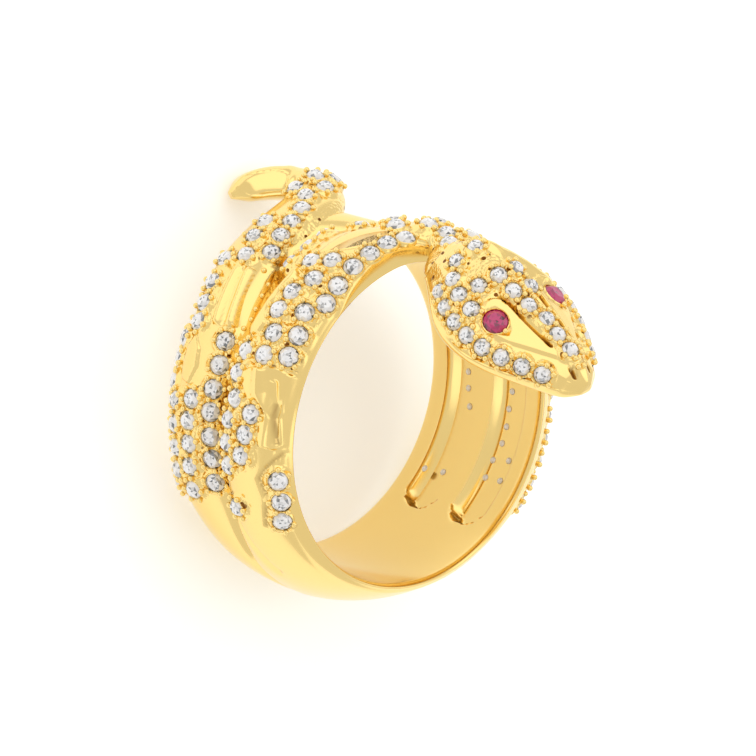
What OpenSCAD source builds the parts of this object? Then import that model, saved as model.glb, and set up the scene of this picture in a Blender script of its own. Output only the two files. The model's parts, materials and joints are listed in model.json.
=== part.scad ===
// Snake wrap ring: a cast band of two coils with a tail at one side and a hooded head at the other.
// Frame while modelling: Z along the finger's axis, head side up; angles turn about Z from +X.
// Every node is then leant by rest() into the pose in which the ring lies on a surface by itself.

/* [Finger bore] */
// Inside diameter of the band
bore_d = 17.3; // [15.7:0.1:19.8]

/* [Band] */
// Width of the band along the finger
band_w = 8.7; // [7.8:0.1:9.6]
// Height of a coil's crown above the wall of the bore
coil_h = 1.75; // [1.5:0.05:2.1]
// Thickness of the plain rail at each rim
rail_h = 0.35; // [0.3:0.05:0.5]
// Depth of the slit between the two coils
slit_h = 0.45; // [0.2:0.05:0.6]
// Thickness of the plain stretch that the head hides
plain_h = 0.95; // [0.8:0.05:1.2]

/* [Inner recesses] */
// Width of each recess behind the stones
recess_w = 2.3; // [1.6:0.1:2.6]
// Depth of each recess
recess_h = 0.7; // [0.4:0.05:0.8]

/* [Tail] */
// How far the tip of the tail reaches past the far rim
tail_reach = 3.5; // [2.5:0.1:4.5]
// Half width of the tail's strand where it leaves the band
tail_w = 2.05; // [1.7:0.05:2.3]
// Half thickness of the tail's strand
tail_t = 1.05; // [0.85:0.05:1.2]

/* [Head] */
// Length of the head from the nape to the nose
head_l = 9.9; // [8.5:0.1:12]
// Half width of the head at the jaws
head_w = 3.8; // [3.2:0.05:4.6]
// Height of the head's ridge above the line of the jaws
head_h = 2.1; // [1.7:0.05:2.5]
// Depth of the jaw rail below the line of the jaws
jaw_h = 0.75; // [0.6:0.05:1]
// How far the nape stands in front of the near rim
nape_reach = 3.1; // [2.5:0.1:3.8]
// Half width of the neck's strand
neck_w = 1.6; // [1.4:0.05:1.8]
// Half thickness of the neck's strand
neck_t = 0.85; // [0.7:0.05:1]
// Angle by which the head leans in over the bore
head_lean = 25.5; // [20:0.5:30]
// Angle by which the head turns to its right
head_turn = 4.5; // [0:0.5:10]

/* [Window] */
// Length of the lens-shaped window at the top
window_l = 3.8; // [3:0.1:4.6]
// Width of the window
window_w = 0.8; // [0.5:0.05:1]

/* [Stones] */
// Diameter of a round pave stone
stone_d = 1.02; // [0.8:0.02:1.08]
// Distance between neighbours in a row of stones
stone_pitch = 1.24; // [1.2:0.02:1.5]
// Diameter of each eye stone
eye_d = 1.25; // [1:0.05:1.4]
// Gap between a stone and the metal under it
stone_gap = 0.08; // [0.05:0.01:0.15]

/* [Hidden] */

bore_r = bore_d / 2;
half_w = band_w / 2;
// Each coil's crown lies at this share of the half width from the middle of the band
crown_share = 0.424;
crown_z = half_w * crown_share;
// Radius of a coil's round back, from its rise over the run between crown and rim
coil_rise = coil_h - rail_h;
coil_round = (pow(half_w - crown_z, 2) + pow(coil_rise, 2)) / (2 * coil_rise);
// Radius of the plain shank's single dome
shank_round = (pow(half_w, 2) + pow(coil_rise, 2)) / (2 * coil_rise);
// Metal that the bore is cut from
bore_skin = 0.5;
slit_half_w = 0.32;

// Steps of the band around the finger and across its width
turn_steps = 72;
wide_steps = 16;
turn_step = 360 / turn_steps;

// Turn, share of shank: 0 where the two coils stand apart, 1 where they are one plain dome
shank_table = [
    [-90, 1], [-60, 1], [-42, 0], [30, 0], [150, 0], [196, 0], [222, 0.7], [245, 1], [270, 1]];
// Turn, share of full height: the stretch behind the head is plain and thin
height_table = [
    [-90, 0.8], [-60, 0.95], [-30, 1.2], [0, 1.1], [28, 1], [48, 0], [76, 0], [90, 0.7], [102, 1],
    [130, 1], [185, 1], [205, 1.18], [222, 1.3], [240, 1.12], [270, 0.8]];
// Turn, far coil's crown as a share of the half width
far_table = [[-90, -0.42], [60, -0.42], [92, -0.7], [104, -0.8], [122, -0.72], [138, -0.6], [156, -0.5],
    [200, -0.48], [225, -0.43], [270, -0.42]];
// Turn, near coil's crown as a share of the half width
near_table = [
    [-90, 0.42], [60, 0.42], [80, 0.95], [90, 0.8], [98, 0.6], [106, 0.47], [124, 0.42], [270, 0.42]];
// Turn, how far the slit lies from the middle towards the near rim, as a share of the half width
slit_table = [[-90, 0], [128, 0], [150, 0.08], [200, 0.08], [222, 0], [270, 0]];
// Turn, widening of the near coil where it splits round its window
split_table = [[-90, 1], [84, 1], [95, 1.25], [104, 1.45], [118, 1.2], [130, 1], [270, 1]];
// Turn, how far the near edge stands in front of the rim, as a share of the half width
front_table = [[-90, 0], [60, 0], [72, 0.16], [82, 0.2], [90, 0.12], [98, 0], [270, 0]];

function unit(v) = v / norm(v);
function blend(a, b, s) = a + (b - a) * s;
// The tables run from the turn under the shank once round to the same place
table_end = 270;
function wrapped(t) = t > table_end ? t - 360 : t;
function polar(t, r, z) = [r * cos(t), r * sin(t), z];
function sag(d, radius) = radius - sqrt(max(pow(radius, 2) - pow(d, 2), 0.01));

function share_at(table, t) = lookup(wrapped(t), table);
function front_z(t) = half_w * (1 + share_at(front_table, t));
function far_z(t) = half_w * share_at(far_table, t);
function near_z(t) = half_w * share_at(near_table, t);

// Height of the metal over the wall of the bore, at a turn and a place along the finger
function coils_height(t, z) =
    let (
        far = coil_h - sag(abs(z - far_z(t)), coil_round),
        near = coil_h - sag(abs(z - near_z(t)) / share_at(split_table, t), coil_round),
        valley = (far_z(t) + near_z(t)) / 2 + half_w * share_at(slit_table, t),
        slit = slit_h * exp(-pow((z - valley) / slit_half_w, 2)))
    max(far, near) - slit;
function shank_height(z) = coil_h - sag(abs(z), shank_round);
function band_height(t, z) =
    let (
        full = blend(coils_height(t, z), shank_height(z), share_at(shank_table, t)),
        low = plain_h - sag(abs(z), shank_round * 2))
    max(blend(low, full, share_at(height_table, t)), rail_h);
function band_point(t, z) = polar(t, bore_r + band_height(t, z), z);

// Faces of a grid of points, closed round each row; ring closes the rows on each other too
function grid_faces(rows, cols, ring) = concat(
    [for (i = [0:rows - (ring ? 1 : 2)], j = [0:cols - 1])
        let (a = i * cols + j, b = i * cols + (j + 1) % cols, up = ((i + 1) % rows) * cols)
        each [[a, up + (j + 1) % cols, up + j], [a, b, up + (j + 1) % cols]]],
    ring ? [] : [[for (j = [cols - 1:-1:0]) j], [for (j = [0:cols - 1]) (rows - 1) * cols + j]]);

function band_section(t) = concat(
    [for (j = [0:wide_steps])
        let (z = blend(-half_w, front_z(t), j / wide_steps)) band_point(t, z)],
    [polar(t, bore_r - bore_skin, front_z(t)), polar(t, bore_r - bore_skin, -half_w)]);

module band_body() {
    polyhedron(
        [for (i = [0:turn_steps - 1]) each band_section(i * turn_step)],
        grid_faces(turn_steps, wide_steps + 3, true));
}

// The tail's strand leaves the far coil, hooks outwards and points back along the coil.
// Turn, radius as a share of the coil's crown, reach as a share of the tail's, half width, half thickness
tail_table = [
    [168, 0.88, -0.3, 0.8, 0.5],
    [154, 0.89, -0.24, 0.95, 0.8],
    [139, 0.9, -0.12, 1, 1],
    [124, 0.9, 0.0, 1, 1],
    [112, 0.905, 0.06, 1, 1],
    [101, 0.925, 0.1, 0.96, 1],
    [92, 0.955, 0.18, 0.86, 1],
    [86.5, 0.995, 0.36, 0.74, 0.95],
    [86, 1.025, 0.56, 0.66, 0.9],
    [89.5, 1.04, 0.74, 0.58, 0.85],
    [95, 1.045, 0.87, 0.52, 0.8],
    [100, 1.04, 0.95, 0.44, 0.66],
    [104.5, 1.03, 1.0, 0.12, 0.2]];
crown_r = bore_r + coil_h;
// The strand leaves the band at this share of the half width
tail_start = 0.72;
tail_sides = 14;
tail_last = len(tail_table) - 1;
tail_step = 0.5;

// Smooth curve through a column of a table of sections, at a place s counted in rows
function curve(table, column, s) =
    let (
        last = len(table) - 1,
        i = min(floor(s), last - 1),
        f = s - i,
        a = table[max(i - 1, 0)][column],
        b = table[i][column],
        c = table[i + 1][column],
        d = table[min(i + 2, last)][column])
    b + f / 2 * (c - a + f * (2 * a - 5 * b + 4 * c - d + f * (3 * (b - c) + d - a)));
function tail_value(column, s) = curve(tail_table, column, s);
function tail_place(s) =
    let (start = half_w * tail_start)
    polar(tail_value(0, s), crown_r * tail_value(1, s),
        -start - (tail_reach + half_w - start) * tail_value(2, s));
function tail_along(s) = unit(tail_place(min(s + 0.5, tail_last)) - tail_place(max(s - 0.5, 0)));
// A point on the tail's skin: place along it, angle round the strand from its back
function tail_point(s, a) =
    let (
        out = [cos(tail_value(0, s)), sin(tail_value(0, s)), 0],
        side = unit(cross(tail_along(s), out)),
        back = cross(side, tail_along(s)))
    tail_place(s) + side * (tail_w * tail_value(3, s) * sin(a))
        + back * (tail_t * tail_value(4, s) * cos(a));

module tail_body() {
    polyhedron(
        [for (s = [0:tail_step:tail_last], j = [0:tail_sides - 1]) tail_point(s, -j * 360 / tail_sides)],
        grid_faces(tail_last / tail_step + 1, tail_sides, false));
}

// Axes of the head: along it to the nose, across to its right, and up through its back
head_roll = 9;
head_along = [sin(head_turn) * cos(head_lean), -sin(head_lean), cos(head_turn) * cos(head_lean)];
head_level = [cos(head_roll), sin(head_roll), 0];
head_across = unit(head_level - head_along * (head_level * head_along));
head_up = cross(head_along, head_across);
nape_turn = 95.2;
nape_r = bore_r * 1.005;
nape = polar(nape_turn, nape_r, half_w + nape_reach);

function head_frame(p) = nape + head_along * p[0] + head_across * p[1] + head_up * p[2];

// Share of the length, half width, ridge height, and jaw depth along the head
head_table = [
    [-0.06, 0.36, 0.8, 0.4],
    [0.03, 0.52, 1.12, 0.7],
    [0.12, 0.7, 1.3, 0.9],
    [0.22, 0.87, 1.38, 1],
    [0.32, 0.97, 1.3, 1],
    [0.42, 1, 1.15, 1],
    [0.5, 0.98, 1.02, 1],
    [0.58, 0.91, 0.93, 1],
    [0.66, 0.81, 0.85, 1],
    [0.74, 0.68, 0.77, 1],
    [0.82, 0.54, 0.68, 1],
    [0.9, 0.4, 0.58, 0.95],
    [0.96, 0.28, 0.47, 0.8],
    [1, 0.16, 0.3, 0.5]];
// Half of a cross section from the back down: side share, height share; below 0 it is of the jaw
head_profile = [
    [0, 1], [0.12, 0.99], [0.2, 0.94], [0.24, 0.78], [0.3, 0.86], [0.5, 0.72], [0.74, 0.52], [0.92, 0.04],
    [0.98, 0.02], [1, -0.2], [0.97, -0.6], [0.8, -0.9], [0.4, -1]];
profile_n = len(head_profile);
head_cols = 2 * profile_n - 1;

function column(j) = j < profile_n ? head_profile[j] : head_profile[head_cols - j];
function head_side(j) = j < profile_n ? 1 : -1;
function head_values(u) = [for (c = [1:3]) lookup(u, [for (row = head_table) [row[0], row[c]]])];
function section_point(u, side, height) =
    let (v = head_values(u))
    head_frame([head_l * u, head_w * v[0] * side,
        height > 0 ? head_h * v[1] * height : jaw_h * v[2] * height]);
function profile_height(side) = lookup(side, [for (k = [0:7]) head_profile[k]]);
// A point on the head's back: share of the length, signed share of the half width
function head_point(u, side) = section_point(u, side, profile_height(abs(side)));

module head_body() {
    polyhedron(
        [for (row = head_table, j = [0:head_cols - 1])
            section_point(row[0], head_side(j) * column(j)[0], column(j)[1])],
        grid_faces(len(head_table), head_cols, false));
}

// The neck carries the near coil over the rim to the nape. Turn, radius as a share of the crown's,
// place as a share of the nape's reach, shares of the half width and the half thickness
neck_table = [
    [114, 0.88, -0.6, 0.81, 0.6],
    [103, 0.895, -0.58, 0.84, 0.85],
    [93, 0.915, -0.5, 0.94, 0.95],
    [84.5, 0.915, -0.3, 1, 1],
    [80.5, 0.895, 0.08, 1, 1.04],
    [82, 0.87, 0.46, 1, 1.08],
    [87, 0.85, 0.78, 1.12, 1.12],
    [91.5, 0.84, 1.05, 1.22, 1.08],
    [94, 0.82, 1.3, 1.06, 0.82]];
neck_sides = 14;
neck_last = len(neck_table) - 1;
neck_step = 0.5;

function neck_value(column, s) = curve(neck_table, column, s);
function neck_place(s) =
    polar(neck_value(0, s), crown_r * neck_value(1, s), half_w + nape_reach * neck_value(2, s));
function neck_along(s) = unit(neck_place(min(s + 0.5, neck_last)) - neck_place(max(s - 0.5, 0)));
function neck_point(s, a) =
    let (
        out = [cos(neck_value(0, s)), sin(neck_value(0, s)), 0],
        side = unit(cross(neck_along(s), out)),
        back = cross(side, neck_along(s)))
    neck_place(s) + side * (neck_w * neck_value(3, s) * sin(a))
        + back * (neck_t * neck_value(4, s) * cos(a));

module neck_body() {
    polyhedron(
        [for (s = [0:neck_step:neck_last], j = [0:neck_sides - 1]) neck_point(s, -j * 360 / neck_sides)],
        grid_faces(neck_last / neck_step + 1, neck_sides, false));
}

// Lens-shaped window through the near coil at the top: its turn, place along the finger and tilt
window_turn = 104;
window_share = 0.62;
window_tilt = -25;
window_skin = 1;
module window() {
    lens_r = (pow(window_l / 2, 2) + pow(window_w / 2, 2)) / window_w;
    rotate([0, 0, window_turn]) translate([bore_r - window_skin, 0, half_w * window_share])
        rotate([window_tilt, 0, 0]) rotate([0, 90, 0]) linear_extrude(coil_h + 2 * window_skin)
            intersection() {
                translate([lens_r - window_w / 2, 0]) circle(lens_r, $fn = 96);
                translate([window_w / 2 - lens_r, 0]) circle(lens_r, $fn = 96);
            }
}

// Recesses behind the stones, cut into the wall of the bore on one side
recess_from = -48;
recess_to = 34;
end_depth = 0.8;
module recess(z) {
    rotate([0, 0, recess_from]) rotate_extrude(angle = recess_to - recess_from, $fn = 120)
        translate([bore_r - bore_skin, z - recess_w / 2]) square([bore_skin + recess_h, recess_w]);
    for (t = [recess_from, recess_to]) rotate([0, 0, t]) translate([bore_r - bore_skin, 0, z])
        rotate([0, 90, 0]) cylinder(h = bore_skin + recess_h * end_depth, d = recess_w * 0.98, $fn = 48);
}

// Beyond the rims the tail and the neck stand a little wider than the bore
mouth_clear = 0.25;
module bore_cut() {
    cylinder(h = band_w + 2 * bore_skin, r = bore_r, center = true, $fn = 128);
    for (k = [-1, 1]) translate([0, 0, band_w * k])
        cylinder(h = band_w, r = bore_r + mouth_clear, center = true, $fn = 128);
}

// Pose at rest: the ring leans on the tip of its tail and the far rim opposite it
tip_row = tail_table[len(tail_table) - 2];
tip_drop = tail_reach + tail_t * 0.6;
// The rim touches opposite this turn
lean_turn = 86;
lean = atan2(tip_drop, crown_r * tip_row[1] * cos(tip_row[0] - lean_turn) + bore_r + rail_h);
module rest() {
    rotate(a = lean, v = [sin(lean_turn), -cos(lean_turn), 0]) children();
}

module snake_band() {
    color("gold") rest() union() {
        difference() {
            union() {
                band_body();
                tail_body();
                neck_body();
            }
            bore_cut();
            recess(crown_z);
            recess(-crown_z);
            window();
        }
        head_body();
    }
}

// A round cut stone: eight-sided table, crown and girdle, its flat underside at the origin
stone_rise = 0.3;
table_share = 0.56;
module stone(d, rise) {
    sides = 8;
    polyhedron(
        concat(
            [for (i = [0:sides - 1]) [d / 2 * cos(i * 360 / sides), d / 2 * sin(i * 360 / sides), 0]],
            [for (i = [0:sides - 1])
                [d / 2 * table_share * cos(i * 360 / sides),
                    d / 2 * table_share * sin(i * 360 / sides), rise]]),
        concat(
            [[for (i = [0:sides - 1]) i], [for (i = [sides - 1:-1:0]) sides + i]],
            [for (i = [0:sides - 1]) each [
                [i, sides + i, (i + 1) % sides], [(i + 1) % sides, sides + i, sides + (i + 1) % sides]]]));
}

// Seats a stone at a point of the skin, facing along the skin's normal
module seated(p, normal, d) {
    n = unit(normal);
    translate(p + n * stone_gap) rotate([0, acos(n[2]), atan2(n[1], n[0])]) stone(d, stone_rise);
}

// Small steps by which the slope of a skin is taken, along it and round it
probe = 0.1;
probe_turn = 1;
probe_round = 4;
function band_normal(t, z) =
    cross(band_point(t + probe_turn, z) - band_point(t - probe_turn, z),
        band_point(t, z + probe) - band_point(t, z - probe));

// A stone on the band: turn, share of the half width
module band_stone(m) {
    seated(band_point(m[0], half_w * m[1]), band_normal(m[0], half_w * m[1]), stone_d);
}

// Stones of the near coil
near_marks = [
    [120.4, 0.41], [117.6, 0.65], [115.9, 0.9], [125.4, 0.64], [123.3, 0.9], [129.9, 0.89], [131.6, 0.51],
    [137.9, 0.49], [135.6, 0.78], [144.6, 0.59], [142.6, 0.84], [151.3, 0.59], [149.4, 0.84], [151.6, 0.3],
    [158.2, 0.27], [165.1, 0.35], [171.6, 0.28], [178.1, 0.265], [184.7, 0.29], [168.2, 0.62],
    [174.3, 0.57], [180.5, 0.52], [187.4, 0.91], [194.4, 0.91], [200.9, 0.875], [196.9, 0.36],
    [120.5, -0.02], [112.9, -0.02], [105.6, -0.05], [97.5, 0.25],
    [109.2, 0.92], [102.9, 0.95], [96.5, 0.98]];
// Stones of the neck: place along it, angle round the strand
neck_marks = [
    [2, 10], [3.1, 20], [4.3, 26], [5.6, 24], [2.2, -34], [3.35, -26], [4.6, -24]];
module near_coil_stones() {
    color("white") rest() {
        for (m = near_marks) band_stone(m);
        for (m = neck_marks) seated(neck_point(m[0], m[1]), neck_normal(m[0], m[1]), stone_d);
    }
}
function neck_normal(s, a) =
    cross(neck_point(s, a + probe_round) - neck_point(s, a - probe_round),
        neck_point(s + probe, a) - neck_point(s - probe, a));

// Stones of the far coil
far_marks = [
    [150.8, -0.2], [157.8, -0.165], [165, -0.168], [171.7, -0.163], [179.1, -0.147], [185.8, -0.136],
    [193.3, -0.138], [169.2, -0.42], [175.6, -0.445], [182.2, -0.43], [189, -0.44], [196.2, -0.44],
    [171.3, -0.74], [178.3, -0.74], [185, -0.72], [192, -0.72], [198.7, -0.905], [142, -0.74],
    [147.8, -0.68], [153, -0.88], [159.4, -0.9], [166.2, -0.9]];
module far_coil_stones() {
    color("white") rest() for (m = far_marks) band_stone(m);
}

// Rows of the flank that the head's side hides
// Each row's share of the half width, first and last turn
side_rows = [for (k = [-1, 1]) each [[0.16 * k, -38, 24], [0.42 * k, -34, 26], [0.69 * k, -38, 24]]];
module side_stones() {
    turn_pitch = stone_pitch / crown_r * 180 / PI;
    color("white") rest() for (row = side_rows, t = [row[1]:turn_pitch:row[2]]) band_stone([t, row[0]]);
}

// Stones of the tail: place along it, angle round the strand
tail_stone_share = 0.96;
tail_marks = [
    [2.3, -22], [2.83, -22], [2.95, 12], [3.56, 0], [4.16, -6], [3.22, 48], [3.85, 38], [4.43, 32],
    [5.03, 24], [5.66, 6], [6.4, 22], [6.4, -34], [7.3, -4], [7.3, 46]];
module tail_stones() {
    color("white") rest() for (m = tail_marks)
        seated(tail_point(m[0], m[1]), tail_normal(m[0], m[1]), stone_d * tail_stone_share);
}
function tail_normal(s, a) =
    cross(tail_point(s, a + probe_round) - tail_point(s, a - probe_round),
        tail_point(s + probe, a) - tail_point(s - probe, a));

// Small step on the head, as a share of its length and half width
probe_share = 0.01;
function head_normal(u, side) =
    cross(head_point(u + probe_share, side) - head_point(u - probe_share, side),
        head_point(u, side + probe_share) - head_point(u, side - probe_share));

// Stones of the head: share of the length, signed share of the half width
head_stone_share = 0.86;
ridge_marks = [[0.435, -0.12], [0.445, 0.17], [0.535, -0.07], [0.64, 0.02], [0.74, -0.02], [0.84, -0.02]];
crown_marks = [[0.12, -0.08], [0.1, -0.44], [0.305, -0.425], [0.33, -0.15], [0.335, 0.14],
    [0.17, -0.64], [0.265, -0.68], [0.37, -0.66]];
// The outer row runs along both jaws and round the hood
outer_marks = [[0.835, 0.81], [0.74, 0.82], [0.64, 0.825], [0.54, 0.83], [0.44, 0.83],
    [0.34, 0.83], [0.24, 0.83], [0.14, 0.82]];
module head_stones() {
    color("white") rest() {
        for (m = concat(ridge_marks, crown_marks)) head_stone(m[0], m[1]);
        for (m = outer_marks, k = [-1, 1]) head_stone(m[0], m[1] * k);
    }
}
module head_stone(u, side) {
    seated(head_point(u, side), head_normal(u, side), stone_d * head_stone_share);
}

// Place of an eye: share of the head's length, share of its half width
eye_mark = [0.5, 0.54];
module eye(k) {
    seated(head_point(eye_mark[0], eye_mark[1] * k), head_normal(eye_mark[0], eye_mark[1] * k), eye_d);
}
module left_eye() { color("crimson") rest() eye(-1); }
module right_eye() { color("crimson") rest() eye(1); }

snake_band();
near_coil_stones();
far_coil_stones();
tail_stones();
side_stones();
head_stones();
left_eye();
right_eye();
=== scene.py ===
# %% [markdown]
# # A snake wrap ring
#
# The real thing is a cast ring of yellow gold: two coils of a snake lie side by side as one band,
# the tail hooks out past one rim and the hooded head hangs in front of the finger's opening.
# Small round stones fill the coils, each in a seat with a thin collar and little beads of metal
# that hold it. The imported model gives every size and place, and this lesson dresses it.

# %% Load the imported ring
import json
import math

import bmesh
import bpy
import numpy as np
from mathutils import Matrix, Vector
from mathutils.bvhtree import BVHTree


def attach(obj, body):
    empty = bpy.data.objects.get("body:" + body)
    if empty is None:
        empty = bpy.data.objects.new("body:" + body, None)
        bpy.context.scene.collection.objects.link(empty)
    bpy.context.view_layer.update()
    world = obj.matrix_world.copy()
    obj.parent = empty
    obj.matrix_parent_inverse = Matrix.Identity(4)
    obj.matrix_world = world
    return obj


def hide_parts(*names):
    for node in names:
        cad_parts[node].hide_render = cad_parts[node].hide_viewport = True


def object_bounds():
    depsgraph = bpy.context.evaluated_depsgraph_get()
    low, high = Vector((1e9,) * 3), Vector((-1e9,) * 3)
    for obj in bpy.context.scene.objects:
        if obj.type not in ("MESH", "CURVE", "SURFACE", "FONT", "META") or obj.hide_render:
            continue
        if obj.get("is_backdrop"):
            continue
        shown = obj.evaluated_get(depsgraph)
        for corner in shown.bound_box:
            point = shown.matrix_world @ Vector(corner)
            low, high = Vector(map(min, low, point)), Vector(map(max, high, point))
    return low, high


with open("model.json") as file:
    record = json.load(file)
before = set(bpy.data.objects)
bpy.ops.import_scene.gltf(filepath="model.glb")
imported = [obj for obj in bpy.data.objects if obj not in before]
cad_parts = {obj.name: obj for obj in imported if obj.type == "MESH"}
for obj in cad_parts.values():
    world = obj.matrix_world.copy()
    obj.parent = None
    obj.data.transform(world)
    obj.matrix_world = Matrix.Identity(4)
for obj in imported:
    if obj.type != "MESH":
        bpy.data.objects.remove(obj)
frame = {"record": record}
cad_low, cad_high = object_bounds()
print("CAD box in mm:", [round((b - a) * 1000, 2) for a, b in zip(cad_low, cad_high)])

# %% [markdown]
# ## Two frames
#
# A ring is easiest to think about with the finger's axis upright: a turn round the finger, a
# radius and a place along it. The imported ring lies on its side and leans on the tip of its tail,
# so every point is worked out upright, in millimetres, and then leant and brought to metres. The
# lean is read from the axis of the finger bore in the record, so it can't drift from the CAD.

# %% From the upright frame to the ring as it lies
bore_axis = -Vector(frame["record"]["mounts"][0]["axis"])
lean = np.array(Vector((0, 0, 1)).rotation_difference(bore_axis).to_matrix())
MM = 0.001

def as_it_lies(points):
    return points @ lean.T * MM

print("lean in degrees:", round(math.degrees(math.acos(lean[2, 2])), 2))

# %% Helpers for selecting, marking and joining pieces

def deselect():
    if bpy.context.object and bpy.context.object.mode != "OBJECT":
        bpy.ops.object.mode_set(mode="OBJECT")
    bpy.ops.object.select_all(action="DESELECT")

def edit_all(job, **how):
    bpy.ops.object.mode_set(mode="EDIT")
    bpy.ops.mesh.select_all(action="SELECT")
    job(**how)
    bpy.ops.object.mode_set(mode="OBJECT")

def pick(piece):
    deselect()
    piece.select_set(True)
    bpy.context.view_layer.objects.active = piece

def points_of(piece):
    flat = np.empty(len(piece.data.vertices) * 3)
    piece.data.vertices.foreach_get("co", flat)
    return flat.reshape(-1, 3)

def place_points(piece, points):
    piece.data.vertices.foreach_set("co", np.asarray(points, dtype=float).ravel())
    piece.data.update()

def put_mark(piece, name, values):
    mark = piece.data.attributes.get(name) or piece.data.attributes.new(name, "FLOAT", "POINT")
    mark.data.foreach_set("value", np.asarray(values, dtype=np.float32).ravel())

def get_mark(piece, name, otherwise=0.0):
    values = np.full(len(piece.data.vertices), otherwise, dtype=np.float32)
    if name in piece.data.attributes:
        piece.data.attributes[name].data.foreach_get("value", values)
    return values

def join(pieces, name):
    deselect()
    for piece in pieces:
        piece.select_set(True)
    bpy.context.view_layer.objects.active = pieces[0]
    bpy.ops.object.join()
    pieces[0].name = name
    pieces[0].data.name = name
    return pieces[0]

# %% [markdown]
# ## The camera and the pale floor
#
# The camera comes first, so every later step can be judged in the same view. It stands where the
# fitted view of the ring puts it, about 18 cm away with a long lens, and looks down past the ring
# onto the floor that it lies on.

# %% The camera
VIEW_LENS, VIEW_FROM = 169.6, Vector((-0.1210328, 0.0242927, 0.1412106))
view_right = Vector((0.7379, -0.13845, 0.66056)).normalized()
view_back = Vector((-0.64911, 0.12247, 0.75077)).normalized()
view_up = view_back.cross(view_right).normalized()
view_right = view_up.cross(view_back)

def add_object(name, data):
    made = bpy.data.objects.new(name, data)
    bpy.context.collection.objects.link(made)
    return made

lens = bpy.data.cameras.new("view")
lens.lens = VIEW_LENS
lens.sensor_width = 36
lens.clip_start = 0.01
lens.clip_end = 5
camera = add_object("view", lens)
pose = Matrix((view_right, view_up, view_back)).transposed().to_4x4()
pose.translation = VIEW_FROM
camera.matrix_world = pose
bpy.context.scene.camera = camera
print("camera stands at", [round(c, 3) for c in camera.location])

# %% Helpers for materials

def new_look(name):
    made = bpy.data.materials.new(name)
    made.use_nodes = True
    return made, made.node_tree.nodes["Principled BSDF"]

def set_inputs(node, values):
    for label, value in values.items():
        node.inputs[label].default_value = value

# %% The floor
# The beads and collars reach a hair lower than the CAD metal, and the floor lies under them
FLOOR_DROP = 0.00006
deselect()
bpy.ops.mesh.primitive_plane_add(size=3, location=(0, 0, cad_low[2] - FLOOR_DROP))
floor = bpy.context.object
floor.name = "floor"
paper, paper_look = new_look("white paper")
set_inputs(paper_look, {"Base Color": (0.95, 0.95, 0.945, 1), "Roughness": 0.6, "Specular IOR Level": 0.2,
    "Emission Color": (0.9, 0.97, 1, 1), "Emission Strength": 0.28})
floor.data.materials.append(paper)
floor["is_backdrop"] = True
print("floor at", round(floor.location.z / MM, 2), "mm")

# %% [markdown]
# ## Soft studio light
#
# Polished gold shows what stands round it, so the light is mostly large white panels. They hang
# where a studio would hang them for this view: over the ring, behind it and to one side. The
# world is a dimmer, warmer white that keeps the shaded flanks golden instead of black.

# %% Light panels
middle = Vector((0, 0.001, 0.003))

def light_panel(name, direction, distance, size, power):
    data = bpy.data.lights.new(name, "AREA")
    data.shape = "RECTANGLE"
    data.size, data.size_y = size
    data.energy = power
    panel = add_object(name, data)
    panel.location = middle + direction.normalized() * distance
    panel.rotation_euler = (panel.location - middle).to_track_quat("Z", "Y").to_euler()

light_panel("panel over the ring", view_up + 0.55 * view_back + Vector((0, 0, 0.5)), 0.3, (0.36, 0.28), 0.16)
light_panel("panel at the right", view_right + 0.35 * view_back + 0.1 * view_up, 0.3, (0.14, 0.36), 0.09)
light_panel("panel by the camera", view_back - 0.5 * view_up + 0.2 * view_right, 0.35, (0.12, 0.12), 0.025)
world = bpy.data.worlds.new("studio")
bpy.context.scene.world = world
world.use_nodes = True
set_inputs(world.node_tree.nodes["Background"], {"Color": (1, 0.98, 0.94, 1), "Strength": 0.82})
bpy.context.scene.view_settings.view_transform = "Standard"

# %% [markdown]
# ## Where the stones sit
#
# Each stone is a little closed frustum in the CAD nodes. Its base ring and its table ring tell
# where it stands, which way it faces and how wide it is. The base is wider, so its points lie
# farthest from the stone's middle. The nodes are loose triangles, so a merged copy is read and the
# nodes are left alone.

# %% Read the seats from the CAD nodes
STONE_NODES = ["near_coil_stones", "far_coil_stones", "tail_stones", "side_stones", "head_stones"]
EYE_NODES = ["left_eye", "right_eye"]
SIDES, MERGE_AT = 8, 1e-6

def read_seats(node):
    grid = bmesh.new()
    grid.from_mesh(bpy.data.objects[node].data)
    bmesh.ops.remove_doubles(grid, verts=grid.verts, dist=MERGE_AT)
    seats, left = [], set(grid.verts)
    while left:
        island, todo = [], [left.pop()]
        while todo:
            vert = todo.pop()
            island.append(vert.co.copy())
            for edge in vert.link_edges:
                other = edge.other_vert(vert)
                if other in left:
                    left.discard(other)
                    todo.append(other)
        heart = sum(island, Vector()) / len(island)
        island.sort(key=lambda p: -(p - heart).length)
        base = sum(island[:SIDES], Vector()) / SIDES
        table = sum(island[SIDES:], Vector()) / SIDES
        across = 2 * sum((p - base).length for p in island[:SIDES]) / SIDES
        seats.append((base, (table - base).normalized(), across))
    grid.free()
    seats.sort(key=lambda s: tuple(round(c, 6) for c in s[0]))
    return seats

seats = {node: read_seats(node) for node in STONE_NODES + EYE_NODES}
for node, found in seats.items():
    print(node, len(found), "stones of", round(found[0][2] * 1000, 2), "mm")

# %% [markdown]
# ## The coils
#
# The band is one skin over two coils: two rounded backs with a slit between them, thinning to a
# plain shank below and to a flat strip behind the head. A torus already has the right topology,
# a loop of loops without seams. So a torus primitive is added and cut finer, and each of its
# points is sent to the place that the section gives for its turn. The section's tables are the
# ring's own sizes, as shares, so the skin lies where the CAD metal does. Each row of a table holds
# a turn in degrees and the share that applies there.

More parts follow.
